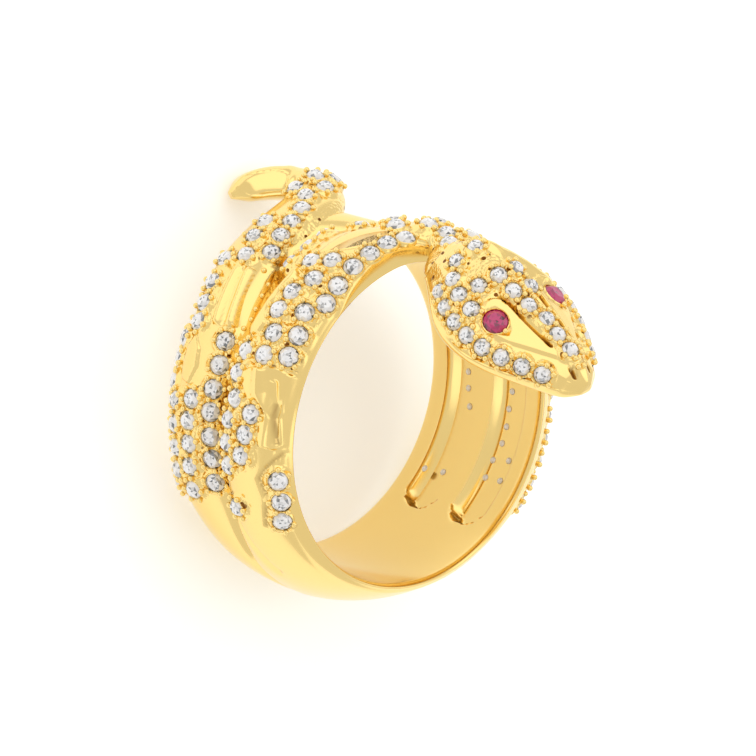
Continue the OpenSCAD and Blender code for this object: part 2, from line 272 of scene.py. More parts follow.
# %% Sizes of the band in millimetres
BORE_R, HALF_W, COIL_H, RAIL_H, PLAIN_H = 8.65, 4.35, 1.75, 0.35, 0.95
SLIT_H, SLIT_HALF_W, MOUTH_CLEAR = 0.55, 0.3, 0.25
COIL_RISE = COIL_H - RAIL_H
COIL_ROUND = ((HALF_W * 0.576) ** 2 + COIL_RISE ** 2) / (2 * COIL_RISE)
SHANK_ROUND = (HALF_W ** 2 + COIL_RISE ** 2) / (2 * COIL_RISE)
CROWN_R = BORE_R + COIL_H

shank_table = [[-90, 1], [-60, 1], [-42, 0], [30, 0], [150, 0], [196, 0], [222, .7], [245, 1], [270, 1]]
height_table = [[-90, .8], [-60, .95], [-30, 1.2], [0, 1.1], [28, 1], [48, 0], [76, 0], [90, .7],
    [102, 1], [130, 1], [185, 1], [205, 1.18], [222, 1.3], [240, 1.12], [270, .8]]
far_table = [[-90, -.42], [60, -.42], [92, -.7], [104, -.8], [122, -.72], [138, -.6], [156, -.5],
    [200, -.48], [225, -.43], [270, -.42]]
near_table = [[-90, .42], [60, .42], [80, .95], [90, .8], [98, .6], [106, .47], [124, .42], [270, .42]]
slit_table = [[-90, 0], [128, 0], [150, .08], [200, .08], [222, 0], [270, 0]]
split_table = [[-90, 1], [84, 1], [95, 1.25], [104, 1.45], [118, 1.2], [130, 1], [270, 1]]
front_table = [[-90, 0], [60, 0], [72, .16], [82, .2], [90, .12], [98, 0], [270, 0]]

def share_at(table, turn):
    rows = np.array(table)
    total = np.zeros_like(turn, dtype=float)
    for shift in (-3, -1.5, 0, 1.5, 3):
        total += np.interp((turn + shift + 90) % 360 - 90, rows[:, 0], rows[:, 1])
    return total / 5

def blend(a, b, share):
    return a + (b - a) * share

def sag(distance, radius):
    return radius - np.sqrt(np.maximum(radius ** 2 - distance ** 2, 0.01))

def soft_step(low, high, x):
    s = np.clip((x - low) / (high - low), 0, 1)
    return s * s * (3 - 2 * s)

def polar(turn, radius, z):
    angle = np.radians(turn)
    return np.stack([radius * np.cos(angle), radius * np.sin(angle), z + 0 * angle], -1)

print("a coil's back is round to", round(COIL_ROUND, 2), "mm")

# %% [markdown]
# ## Chased lines and panels
#
# Between the stones the coils carry plain polished panels with folds, and engraved outlines. They
# are low relief, a few tenths of a millimetre, so they are drawn on the unrolled band: a stroke
# is a soft ridge or groove along a few points, a panel is a raised patch with a soft edge, and a
# fold is a straight-sided ridge across a panel. Painted shade darkens the gold's colour along a few
# grooves. Points are a turn in degrees and a place along the finger in millimetres.

# %% Strokes and panels on the unrolled band
DEGREE = math.radians(1) * (BORE_R + COIL_H * 0.9)

def far_from_line(x, y, points, closed=False):
    best = np.full_like(x, 1e9)
    ends = points[1:] + points[:1] if closed else points[1:]
    for (ax, ay), (bx, by) in zip(points, ends):
        dx, dy = bx - ax, by - ay
        s = np.clip(((x - ax) * dx + (y - ay) * dy) / (dx * dx + dy * dy), 0, 1)
        best = np.minimum(best, np.hypot(x - ax - s * dx, y - ay - s * dy))
    return best

def inside(x, y, points):
    odd = np.zeros(x.shape, dtype=bool)
    for (ax, ay), (bx, by) in zip(points, points[1:] + points[:1]):
        if ay != by:
            odd ^= ((ay > y) != (by > y)) & (x < (bx - ax) * (y - ay) / (by - ay) + ax)
    return odd

def unrolled(points):
    return [(turn * DEGREE, z) for turn, z in points]

def stroke(x, y, points, height, width, closed=False):
    return height * np.exp(-(far_from_line(x, y, points, closed) / width) ** 2)

def panel(x, y, points, height, edge):
    depth = far_from_line(x, y, points, True) * np.where(inside(x, y, points), 1, -1)
    return height * soft_step(-edge, edge, depth)

print("one degree:", round(DEGREE, 3), "mm")

# %% Outlines of the panels
near_fold = [(156.4, 1.75), (154.4, 2.75), (153.4, 3.6), (154.6, 4.12), (165, 4.2), (176, 4.2),
    (177.6, 3.9), (176.4, 3.25), (171.5, 3.2), (167.2, 3.42), (164.9, 3.2), (164.6, 2.4),
    (161, 1.85)]
far_fold = [(127.4, -1.5), (127.6, -2.3), (130.4, -2.6), (135.2, -2.4), (141.2, -2.15), (146.8, -1.95),
    (147.4, -1.3), (145.6, -.66), (136.6, -1.08)]
blade = [(123.4, 1.58), (126.5, 1.25), (130.4, 1), (138, .85), (144.8, .72), (147, 1.1),
    (145.5, 1.6), (142.8, 1.76), (139.2, 1.6), (133.6, 1.65), (127, 1.72)]
left_leaf = [(151.4, -2.75), (155, -2.15), (160, -1.95), (165.4, -2.3), (164.4, -2.95), (160, -3.25),
    (154.5, -3.15)]
dotted_ground = [(121.5, -.9), (126, -1.25), (133, -.6), (140, -.4), (148, -.3), (149, .55),
    (140, .65), (130, .85), (123, 1.3)]
round_three = [(182.5, 3.6), (186.8, 3.12), (192.8, 3.42), (202, 2.98)]
three_stones = [(178.6, 4.2), *round_three, (204.4, 4.2)]
print(len(near_fold), "points round the near fold")

# %% Heights of the panels, folds and lines
slit_line = [(159, .2), (172, .3), (185, .3), (197.6, .22)]
fold_notch = [(164.9, 2.9), (166.8, 3.25)]
stones_line = [(178.6, 4.15), *round_three, (204.4, 4.15)]

# Panels: outline, height, edge. Folds: panel, line, height, width.
panels = [(near_fold, .2, .07), (far_fold, .18, .07), (blade, .2, .06), (left_leaf, .16, .06),
    (three_stones, -.07, .05), (dotted_ground, -.2, .12)]
folds = [(near_fold, [(154.5, 2.6), (162, 2.95), (168, 3.78), (176.5, 3.6)], .22, .45),
    (far_fold, [(129, -1.72), (137, -1.28), (145, -.95)], .26, .4),
    (far_fold, [(129.5, -2.45), (138, -2.1), (146, -1.75)], .14, .3),
    (blade, [(124, 1.55), (135, 1.3), (145, 1.15)], .14, .35)]
# Strokes: line, height, width. Painted shade lines: line, strength of the painted shade, width.
strokes = [([(158, 3.5), (166, 3.82), (175.5, 3.98)], -.24, .17), (fold_notch, -.25, .15),
    ([(129.5, -2.08), (137, -1.72), (146.4, -1.38)], -.2, .15), (slit_line, -.55, .17),
    ([(199, .6), (205, 1), (213, 1.5), (222, 1.9)], -.14, .2), (stones_line, -.09, .09)]
# Painted shade: the gold's colour is darkened along these grooves and the engraved outline, where shade falls
painted_shade_lines = [(slit_line, 1, .16), ([(164, 3.75), (175.5, 3.98)], .45, .08), (fold_notch, 1, .09),
    ([(116, -1.6), (123, -1.3)], 1, .22), (stones_line, .4, .07)]
print(len(panels), "panels,", len(folds), "folds and", len(strokes), "strokes")

# %% The lip round the window
# The lip follows the window's own lens, a little larger
WINDOW_L, WINDOW_W, WINDOW_TURN, WINDOW_Z, WINDOW_TILT = 3.8, 1, 104, 2.697, -25
LIP_W, LIP_H, LIP_EDGE, LIP_STRETCH, LIP_POINTS = .34, .12, .07, 1.8, 32

def window_lens(angle, margin):
    long_way = np.cos(angle) * (WINDOW_L / 2 + LIP_STRETCH * margin)
    short_way = np.sign(np.sin(angle)) * (WINDOW_W / 2 + margin) * np.sin(angle) ** 2
    tilt = math.radians(WINDOW_TILT)
    along = long_way * math.cos(tilt) - short_way * math.sin(tilt)
    across = long_way * math.sin(tilt) + short_way * math.cos(tilt) + WINDOW_Z
    return along, across

lip = zip(*window_lens(np.arange(LIP_POINTS) * 2 * np.pi / LIP_POINTS, LIP_W))
panels.append(([(float(WINDOW_TURN + a / DEGREE), float(b)) for a, b in lip], LIP_H, LIP_EDGE))
print("points of the lip:", len(panels[-1][0]))

# %% The relief, its marks and the height of the skin
FOLD_EDGE, PLAIN_EDGE, DOTTED_EDGE = .07, .05, .1
STONES_PLAIN, STONES_EDGE = .85, .3

def relief(turn, z):
    x = turn * DEGREE
    total = np.zeros_like(x)
    for points, height, edge in panels:
        total += panel(x, z, unrolled(points), height, edge)
    for points, line, height, width in folds:
        tent = np.clip(1 - far_from_line(x, z, unrolled(line)) / width, 0, 1)
        total += panel(x, z, unrolled(points), height, FOLD_EDGE) * tent
    for points, height, width in strokes:
        total += stroke(x, z, unrolled(points), height, width)
    return total

def band_marks(turn, z):
    x = turn * DEGREE
    # painted shade along the grooves, then the granulated ground and the plain panels
    dark = np.zeros_like(x)
    for points, depth, width in painted_shade_lines:
        dark = np.maximum(dark, stroke(x, z, unrolled(points), depth, width))
    dotted = panel(x, z, unrolled(dotted_ground), 1, DOTTED_EDGE)
    plain = panel(x, z, unrolled(three_stones), STONES_PLAIN, STONES_EDGE)
    for points, height, _ in panels:
        if height > 0:
            plain = np.maximum(plain, panel(x, z, unrolled(points), 1, PLAIN_EDGE))
    return dark, dotted, plain

# A line is engraved inside each rail, and it stops short of the head on both sides
LINE_H, LINE_IN, LINE_W, GAP_AT, GAP = .08, .42, .07, 70, 20

def coils_height(turn, z):
    far_z, near_z = HALF_W * share_at(far_table, turn), HALF_W * share_at(near_table, turn)
    far = COIL_H - sag(abs(z - far_z), COIL_ROUND)
    near = COIL_H - sag(abs(z - near_z) / share_at(split_table, turn), COIL_ROUND)
    valley = (far_z + near_z) / 2 + HALF_W * share_at(slit_table, turn)
    return np.maximum(far, near) - SLIT_H * np.exp(-((z - valley) / SLIT_HALF_W) ** 2)

def band_height(turn, z):
    shank = share_at(shank_table, turn)
    full = blend(coils_height(turn, z), COIL_H - sag(abs(z), SHANK_ROUND), shank)
    low = PLAIN_H - sag(abs(z), SHANK_ROUND * 2)
    skin = np.maximum(blend(low, full, share_at(height_table, turn)), RAIL_H)
    turn = (turn + 90) % 360 - 90
    rail_line = -LINE_H * np.exp(-((abs(z) - HALF_W + LINE_IN) / LINE_W) ** 2) * (1 - shank)
    return skin + relief(turn, z) + rail_line * soft_step(GAP, 2 * GAP, abs(turn - GAP_AT))

# Two recesses lie in the wall of the bore
RECESS_W, RECESS_H, RECESS_FROM, RECESS_TO, RECESS_EDGE = 2.3, 0.62, -48, 34, 0.3
CROWN_Z = HALF_W * 0.424

def recess_depth(turn, z):
    turn = (turn + 180) % 360 - 180
    reach = np.radians(1) * BORE_R
    past = np.maximum(np.maximum(RECESS_FROM - turn, turn - RECESS_TO), 0) * reach
    aside = np.minimum(abs(z - CROWN_Z), abs(z + CROWN_Z))
    return RECESS_H * soft_step(0, RECESS_EDGE, RECESS_W / 2 - np.hypot(past, aside))

print("the recesses are", RECESS_H, "mm deep")

# %% The section as a closed loop of rows
# Counts of rows: round the ring, over the outside, over each rim and along the bore. By
# row_spread they stand closer where the relief is.
CUTS = 3
AROUND, OUTER, RIM, INNER = 642, 108, 3, 36
ACROSS = OUTER + 2 * RIM + INNER
row_spread = [[0, 84], [370, 214], [450, 308], [590, 398], [642, 444]]
EDGE_H, EDGE_W, FLARE_H, FLARE_W, RIM_BULGE = 0.12, 0.16, 0.1, 0.25, 0.05
SEAT_CLEAR = (.12, .3)

def band_skin():
    rows = np.array(row_spread)
    turns = (np.interp(np.arange(AROUND), rows[:, 0], rows[:, 1]) + 90) % 360 - 90
    turn, row = np.meshgrid(turns, np.arange(ACROSS), indexing="ij")
    front = HALF_W * (1 + share_at(front_table, turn))
    step = (row + OUTER // 2) % ACROSS
    on_outer = step < OUTER
    z = blend(-HALF_W, front, step / (OUTER - 1))
    outer_r = BORE_R + band_height(turn, z)
    edge = np.minimum(front - z, z + HALF_W)
    outer_r -= EDGE_H * (1 - soft_step(0, EDGE_W, edge))
    inner_step = (step - OUTER - RIM) / (INNER - 1)
    inner_z = blend(front, -HALF_W, np.clip(inner_step, 0, 1))
    inner_edge = np.minimum(front - inner_z, inner_z + HALF_W)
    inner_r = BORE_R + recess_depth(turn, inner_z) + FLARE_H * (1 - soft_step(0, FLARE_W, inner_edge))
    first = BORE_R + band_height(turn, front) - EDGE_H
    last = BORE_R + band_height(turn, 0 * front - HALF_W) - EDGE_H
    near_rim = (step - OUTER + 1) / (RIM + 1)
    far_rim = (step - OUTER - RIM - INNER + 1) / (RIM + 1)
    radius = np.where(on_outer, outer_r, inner_r)
    place = np.where(on_outer, z, inner_z)
    on_near = (step >= OUTER) & (step < OUTER + RIM)
    on_far = step >= OUTER + RIM + INNER
    radius = np.where(on_near, blend(first, BORE_R + FLARE_H, near_rim), radius)
    place = np.where(on_near, front + RIM_BULGE * np.sin(np.pi * near_rim), place)
    radius = np.where(on_far, blend(BORE_R + FLARE_H, last, far_rim), radius)
    place = np.where(on_far, -HALF_W - RIM_BULGE * np.sin(np.pi * far_rim), place)
    can_seat = np.where(on_outer, soft_step(*SEAT_CLEAR, edge), 0)
    return turn, place, polar(turn, radius, place), can_seat

print("rows across the section:", ACROSS)

# %% Shape the torus into the band
deselect()
bpy.ops.mesh.primitive_torus_add(
    major_segments=AROUND // CUTS, minor_segments=ACROSS // CUTS, major_radius=1, minor_radius=.4)
band = bpy.context.object
band.name = "band"
edit_all(bpy.ops.mesh.subdivide, number_cuts=CUTS - 1)
ball = points_of(band)
turn_row = np.rint(np.degrees(np.arctan2(ball[:, 1], ball[:, 0])) / 360 * AROUND).astype(int) % AROUND
wide_row = np.arctan2(ball[:, 2], np.hypot(ball[:, 0], ball[:, 1]) - 1)
wide_row = np.rint(np.degrees(wide_row) / 360 * ACROSS).astype(int) % ACROSS
skin_turn, skin_z, skin, can_seat = band_skin()
place_points(band, as_it_lies(skin[turn_row, wide_row]))
# The band's marks, with the painted shade of its grooves
dark, dotted, plain = band_marks(skin_turn, skin_z)
marks = {"can_seat": can_seat, "dark": dark * can_seat, "dotted": dotted * can_seat,
    "plain": np.maximum(plain, 1 - can_seat)}
for name, values in marks.items():
    put_mark(band, name, values[turn_row, wide_row])
print("band:", len(band.data.polygons), "faces")

# %% [markdown]
# ## Tail, neck and head from spheres
#
# A strand that tapers to a closed end is a stretched ball: its rings become sections along the
# strand and its two poles close the ends. The same start serves the tail, the neck and the head,
# each with its own section. A ball primitive is added for each, and its rings and its longitudes
# are read back from where its points lie.

# %% Read rings and longitudes from a ball
STRAND_CLEAR, MOUTH_EDGE = 0.04, 0.05

def add_ball(name, rings, longitudes):
    deselect()
    bpy.ops.mesh.primitive_uv_sphere_add(segments=longitudes, ring_count=rings, radius=1)
    ball = bpy.context.object
    ball.name = name
    points = points_of(ball)
    ring = np.rint(np.arccos(np.clip(points[:, 2], -1, 1)) / np.pi * rings)
    around = np.degrees(np.arctan2(points[:, 1], points[:, 0])) % 360
    return ball, ring, around

def add_strand(name, rings, longitudes, last):
    ball, ring, around = add_ball(name, rings, longitudes)
    s = np.clip((ring - 1) / (rings - 2), 0, 1) * last
    closing = np.where((ring < 1) | (ring > rings - 1), 0, 1)
    return ball, s, closing, around

def curve(table, column, s):
    values = np.array(table)[:, column]
    last = len(values) - 1
    i = np.minimum(np.floor(s).astype(int), last - 1)
    f = s - i
    a, b = values[np.maximum(i - 1, 0)], values[i]
    c, d = values[i + 1], values[np.minimum(i + 2, last)]
    return b + f / 2 * (c - a + f * (2 * a - 5 * b + 4 * c - d + f * (3 * (b - c) + d - a)))

def unit(v):
    return v / np.linalg.norm(v, axis=-1, keepdims=True)

def superellipse(angle, power):
    c, s = np.cos(np.radians(angle)), np.sin(np.radians(angle))
    return np.sign(c) * abs(c) ** (2 / power), np.sign(s) * abs(s) ** (2 / power)

def strand_point(place_at, last, s, across, outwards):
    along = unit(place_at(np.minimum(s + .5, last)) - place_at(np.maximum(s - .5, 0)))
    here = place_at(s)
    out = unit(here * [1, 1, 0])
    side = unit(np.cross(along, out))
    back = np.cross(side, along)
    return here + side * across[:, None] + back * outwards[:, None]

def clear_of_finger(points):
    radius = np.hypot(points[:, 0], points[:, 1])
    beyond = soft_step(0, MOUTH_EDGE, abs(points[:, 2]) - HALF_W) * MOUTH_CLEAR
    push = np.maximum(radius, BORE_R + STRAND_CLEAR + beyond) / radius
    points[:, :2] *= push[:, None]
    return points

def between(x, start, end):
    return soft_step(*start, x) * (1 - soft_step(*end, x))

print("a strand keeps", STRAND_CLEAR, "mm off the bore")

# %% The tail
# A row has a turn, a share of the crown's radius, and shares of the reach, width and thickness
TAIL_REACH, TAIL_W, TAIL_T = 3.5, 2.05, 1.05
tail_table = [
    [168, .88, -.3, .8, .5], [154, .89, -.24, .95, .8], [139, .9, -.12, 1, 1], [124, .9, 0, 1, 1],
    [112, .905, .06, 1, 1], [101, .925, .1, .96, 1], [92, .955, .18, .86, 1], [86.5, .995, .36, .74, .95],
    [86, 1.025, .56, .66, .9], [89.5, 1.04, .74, .58, .85], [95, 1.045, .87, .52, .8],
    [100, 1.04, .95, .44, .66], [104.5, 1.03, 1, .12, .2]]
tail_last = len(tail_table) - 1

def tail_place(s):
    reach = -HALF_W * .72 - (TAIL_REACH + HALF_W * .28) * curve(tail_table, 2, s)
    return polar(curve(tail_table, 0, s), CROWN_R * curve(tail_table, 1, s), reach)

TAIL_RINGS, TAIL_SIDES = 190, 84
tail, s, closing, around = add_strand("tail", TAIL_RINGS, TAIL_SIDES, tail_last)
a = (-around + 180) % 360 - 180
print("tail:", len(tail.data.polygons), "faces")

# %% The leaf at the tail's end
# The strand turns and grows squarer into the leaf. A row of the table is about TAIL_ROW
# millimetres long, and a degree round the strand about TAIL_SIDE wide.
LEAF_SQUARE, SQUARE_AT, LEAF_TURN, TURN_AT = 1.6, (8.4, 9.4), 65, (8.2, 9.2)
TAIL_ROW, TAIL_SIDE, LEAF_EDGE, LEAF_SINK, LEAF_PLAIN = .85, .017, .04, .08, (7.9, 8.3)
square = 2 + LEAF_SQUARE * soft_step(*SQUARE_AT, s)
leaf_turn = LEAF_TURN * soft_step(*TURN_AT, s)
c, d = superellipse(a + leaf_turn, square)
turn_c, turn_s = np.cos(np.radians(leaf_turn)), np.sin(np.radians(leaf_turn))
c, d = c * turn_c + d * turn_s, d * turn_c - c * turn_s
leaf_face = [(11.5, -4), (11, -4), (10.4, -22), (9.6, -34), (8.9, -50), (8.8, -78), (9.3, -104),
    (10.3, -104), (11.1, -88), (11.5, -50)]
leaf_face = [(place * TAIL_ROW, turn * TAIL_SIDE) for place, turn in leaf_face]
face = panel(s * TAIL_ROW, a * TAIL_SIDE, leaf_face, 1, LEAF_EDGE)
DOTS_ALONG, DOTS_ROUND = ((2.6, 3.2), (6.6, 7.4)), ((50, 62), (110, 125))
swell = 1 - LEAF_SINK * face
tail_width = TAIL_W * curve(tail_table, 3, s) * closing * swell
tail_depth = TAIL_T * curve(tail_table, 4, s) * closing * swell
tail_points = strand_point(tail_place, tail_last, s, tail_width * d, tail_depth * c)
place_points(tail, as_it_lies(clear_of_finger(tail_points)))
put_mark(tail, "plain", np.maximum(face, soft_step(*LEAF_PLAIN, s)))
put_mark(tail, "dotted", between(s, *DOTS_ALONG) * between(a, *DOTS_ROUND))
print("points on the leaf's face:", int((face > .5).sum()))

# %% The neck
NAPE_REACH, NECK_W, NECK_T = 3.1, 1.6, .85
neck_table = [
    [114, .88, -.6, .81, .6], [103, .895, -.58, .84, .85], [93, .915, -.5, .94, .95], [84.5, .915, -.3, 1, 1],
    [80.5, .895, .08, 1, 1.04], [82, .87, .46, 1, 1.08], [87, .85, .78, 1.12, 1.12],
    [91.5, .84, 1.05, 1.22, 1.08], [94, .82, 1.3, 1.06, .82]]
neck_last = len(neck_table) - 1

def neck_place(s):
    reach = HALF_W + NAPE_REACH * curve(neck_table, 2, s)
    return polar(curve(neck_table, 0, s), CROWN_R * curve(neck_table, 1, s), reach)

NECK_RINGS, NECK_SIDES, NECK_DOTS = 110, 72, (2.2, 3)
neck, s, closing, around = add_strand("neck", NECK_RINGS, NECK_SIDES, neck_last)
c, d = superellipse(-around, 2)
neck_width = NECK_W * curve(neck_table, 3, s) * closing
neck_depth = NECK_T * curve(neck_table, 4, s) * closing
neck_points = strand_point(neck_place, neck_last, s, neck_width * d, neck_depth * c)
place_points(neck, as_it_lies(clear_of_finger(neck_points)))
put_mark(neck, "dotted", soft_step(*NECK_DOTS, s))
print("neck:", len(neck.data.polygons), "faces")

# %% The head's axes and sections
HEAD_L, HEAD_W, HEAD_H, JAW_H = 9.9, 3.8, 2.1, .75
head_lean, head_turn, head_roll = np.radians([25.5, 4.5, 9])
level = np.cos(head_lean)
head_along = np.array([np.sin(head_turn) * level, -np.sin(head_lean), np.cos(head_turn) * level])
head_level = np.array([np.cos(head_roll), np.sin(head_roll), 0])
head_across = unit(head_level - head_along * (head_level @ head_along))
head_up = np.cross(head_along, head_across)
nape = polar(np.array(95.2), BORE_R * 1.005, HALF_W + NAPE_REACH)

# A row has a share of the length and shares of the half width, the ridge and the jaw
head_table = np.array([
    [-.06, .36, .8, .4], [.03, .52, 1.12, .7], [.12, .7, 1.3, .9], [.22, .87, 1.38, 1], [.32, .97, 1.3, 1],
    [.42, 1, 1.15, 1], [.5, .98, 1.02, 1], [.58, .91, .93, 1], [.66, .81, .85, 1], [.74, .68, .77, 1],
    [.82, .54, .68, 1], [.9, .4, .58, .95], [.96, .28, .47, .8], [1, .16, .3, .5]])
back_profile = np.array([
    [0, 1], [.12, .985], [.2, .95], [.3, .865], [.5, .72], [.74, .52], [.88, .2], [.95, .05], [1, 0]])
jaw_round = np.radians(np.linspace(0, 90, 25))
jaw_profile = np.stack([np.cos(jaw_round) ** .5, -np.sin(jaw_round) ** .75], -1)

def smooth_row(u, column):
    total = 0
    for shift in (-.03, -.015, 0, .015, .03):
        total = total + np.interp(u + shift, head_table[:, 0], head_table[:, column])
    return total / 5

print("head points", [round(float(c), 3) for c in head_along])

# %% Lines and panels of the head
# Share of the length and of the half width; both sides carry them, mirrored
eye_panel = [(.43, .31), (.4, .38), (.39, .48), (.42, .6), (.44, .68), (.48, .71), (.56, .7), (.62, .665),
    (.695, .585), (.78, .48), (.835, .38), (.77, .215), (.715, .22), (.57, .225)]
almond = [(.43, .66), (.42, .55), (.44, .43), (.49, .38), (.54, .41), (.585, .5), (.6, .59),
    (.56, .66), (.5, .69)]
head_groove = [(.42, .285), (.49, .25), (.585, .255), (.675, .26), (.765, .27)]
stripe_edge = [(.41, .22), (.49, .17), (.585, .175), (.675, .185), (.765, .195), (.83, .22)]
nose_notch = [(.915, .34), (.945, .42)]
far_bulge = [(.1, .05), (.2, .32), (.3, .5), (.4, .62)]

# Panels: outline, height, edge. Strokes: line, height, width, closed or not.
head_panels = [(eye_panel, .12, .06), (almond, -.1, .05)]
head_strokes = [(almond, .04, .05, True), (head_groove, -.42, .085, False),
    (stripe_edge, .08, .06, False), (nose_notch, -.3, .1, False)]
# Painted shade: a darker colour along the head's groove and in the nose notch, where shade falls
head_painted_shade = [(head_groove, .055), (nose_notch, .1)]
BULGE_H, BULGE_W = .42, .62
LEDGE_H, LEDGE_ACROSS, LEDGE_ALONG = .14, ((.7, .74), (.94, .97)), ((.36, .44), (.88, .94))

def on_head(points):
    return [(HEAD_L * u, v * HEAD_W * float(smooth_row(np.array(u), 1))) for u, v in points]

print("strokes on the head:", len(head_strokes))

# %% The head's sections
# The back covers BACK_END degrees from the ridge on each side, and the jaw covers the rest
HEAD_RINGS, HEAD_SIDES, BACK_END = 170, 236, 118
HEAD_FROM, SLACK, CLOSE_NAPE, CLOSE_NOSE = -.06, .01, .02, .07
head, ring, around = add_ball("head", HEAD_RINGS, HEAD_SIDES)
v = np.clip(ring / HEAD_RINGS, 0, 1)
u = blend(HEAD_FROM, 1, np.clip((v - SLACK) / (1 - 2 * SLACK), 0, 1))
closing = np.minimum(np.minimum(v / CLOSE_NAPE, (1 - v) / CLOSE_NOSE), 1)
closing = np.sqrt(np.clip(1 - (1 - closing) ** 2, 0, 1))
half = np.where(around > 180, 360 - around, around)
side = np.where(around > 180, -1, 1)
on_back = half <= BACK_END
share = np.clip(half / BACK_END, 0, 1)
back_height = np.interp(share, back_profile[:, 0], back_profile[:, 1])
jaw_s = np.clip((half - BACK_END) / (180 - BACK_END), 0, 1) * (len(jaw_profile) - 1)
jaw_share, jaw_height = (np.interp(jaw_s, np.arange(len(jaw_profile)), column) for column in jaw_profile.T)
out_share = np.where(on_back, share, jaw_share)
width = HEAD_W * smooth_row(u, 1) * closing
ridge, jaw = HEAD_H * smooth_row(u, 2) * closing, JAW_H * smooth_row(u, 3) * closing
print("head:", len(head.data.polygons), "faces")

# %% Place and mark the head with its relief
x, y = HEAD_L * u, share * HEAD_W * smooth_row(u, 1)
lift = sum(panel(x, y, on_head(points), height, edge) for points, height, edge in head_panels)
for points, high, wide, closed in head_strokes:
    lift += stroke(x, y, on_head(points), high, wide, closed)
lift -= LEDGE_H * between(share, *LEDGE_ACROSS) * between(u, *LEDGE_ALONG)
bulge = stroke(x, y, on_head(far_bulge), BULGE_H, BULGE_W) * (side > 0)
lift = (lift + bulge) * closing * on_back
height = np.where(on_back, ridge * back_height, jaw * jaw_height) + lift
head_points = (nape + head_along * (HEAD_L * u)[:, None] + head_across * (side * width * out_share)[:, None]
               + head_up * height[:, None])
place_points(head, as_it_lies(head_points))
HOOD_END, HOOD_RIM = (.4, .46), (.86, .93)
EYE_PANEL_EDGE, BULGE_PLAIN = .04, 4
plain = panel(x, y, on_head(eye_panel), 1, EYE_PANEL_EDGE)
plain = np.maximum(plain, np.clip(bulge * BULGE_PLAIN, 0, 1))
plain = np.maximum(plain, 1 - on_back)
hood = (1 - soft_step(*HOOD_END, u)) * (1 - soft_step(*HOOD_RIM, share))
# The mark of the painted shade on the back of the head
dark = [stroke(x, y, on_head(points), 1, wide) for points, wide in head_painted_shade]
put_mark(head, "plain", plain)
put_mark(head, "dotted", hood * on_back * (1 - plain))
put_mark(head, "dark", on_back * np.maximum(*dark))
print("highest relief on the head:", round(float(lift.max()), 2), "mm")

# %% [markdown]
# ## The window
#
# The near coil splits round a lens-shaped window at the top. A hole through a skin is the one
# thing that moving points can't make, so a lens-shaped cutter is cut out of the band and of the
# neck that starts inside it. Each cut is a Boolean modifier, which is applied, and the cutter is
# then deleted. The faces of the cut are marked, as they stay flat when the rest is smoothed.

# %% Cut the window
# WINDOW_SLANT is a share of the way from straight out to the camera's line of sight
WINDOW_SLANT, CUTTER_IN, SKIN_SHARE = .6, 1, .8
deselect()
bpy.ops.mesh.primitive_cylinder_add(vertices=64, radius=1, depth=1)
cutter = bpy.context.object
points = points_of(cutter)
y, z = window_lens(np.arctan2(points[:, 1], points[:, 0]), 0)
x = BORE_R - CUTTER_IN + (points[:, 2] + .5) * (COIL_H + 2 * CUTTER_IN)
turn = math.radians(WINDOW_TURN)
turn_c, turn_s = math.cos(turn), math.sin(turn)
sight = np.array(view_back) @ lean
sight_out = sight[0] * turn_c + sight[1] * turn_s
sight_along = sight[1] * turn_c - sight[0] * turn_s
from_skin = (x - BORE_R - COIL_H * SKIN_SHARE) * WINDOW_SLANT
y += from_skin * sight_along / sight_out
z += from_skin * sight[2] / sight_out
place_points(cutter, as_it_lies(np.stack([x * turn_c - y * turn_s, x * turn_s + y * turn_c, z], -1)))
edit_all(bpy.ops.mesh.normals_make_consistent, inside=False)

for piece, name in ((band, "skin"), (neck, "skin"), (cutter, "window wall")):
    piece.data.materials.append(bpy.data.materials.new(name))
for piece in (band, neck):
    hole = piece.modifiers.new("window", "BOOLEAN")
    hole.object = cutter
    hole.operation = "DIFFERENCE"
    hole.solver = "EXACT"
    hole.material_mode = "TRANSFER"
    pick(piece)
    bpy.ops.object.modifier_apply(modifier="window")
    wall = piece.data.attributes.new("wall", "FLOAT", "FACE")
    wall.data.foreach_set("value", [float(p.material_index > 0) for p in piece.data.polygons])
    piece.data.materials.clear()
    print(piece.name, "after the window:", len(piece.data.polygons), "faces")
bpy.data.objects.remove(cutter)

# %% [markdown]
# ## Seats
#
# A stone is let into the metal: the setter drills a seat as wide as the stone, and the metal
# round it rises to the stone's edge. Every point of the skin near a stone is moved along the
# stone's own axis, down to the seat's floor under the stone and up to its edge beside it.

# %% Sink a seat round each stone
# Places beside a stone are shares of its radius
SEAT_FLOOR, SEAT_LIP, SEAT_DEPTH = -0.14 * MM, 0.05 * MM, 0.55 * MM
SEAT_WALL, SEAT_REACH, SEARCH, FAR_OFF = (.98, 1.12), 1.7, 2.2, 9.0

def sink_seats(piece, stones, fade):
    points = points_of(piece)
    nearest = np.full(len(points), FAR_OFF)
    moved = points.copy()
    limit = get_mark(piece, "can_seat", 1.0)
    for base, axis, across in stones:
        c, n, r = np.array(base), np.array(axis), across / 2
        near = np.nonzero(np.linalg.norm(points - c, axis=1) < SEARCH * r)[0]
        if not len(near):
            continue
        away = points[near] - c
        h = away @ n
        q = np.sqrt(np.maximum((away * away).sum(1) - h * h, 0)) / r
        take = (q < nearest[near]) & (q < SEAT_REACH) & (abs(h) < SEAT_DEPTH)
        near, h, q = near[take], h[take], q[take]
        nearest[near] = q
        weight = (1 - soft_step(*fade, q)) * limit[near]
        seat = blend(SEAT_FLOOR, SEAT_LIP, soft_step(*SEAT_WALL, q))
        moved[near] = points[near] + n * ((seat - h) * weight)[:, None]
    place_points(piece, moved)
    return nearest

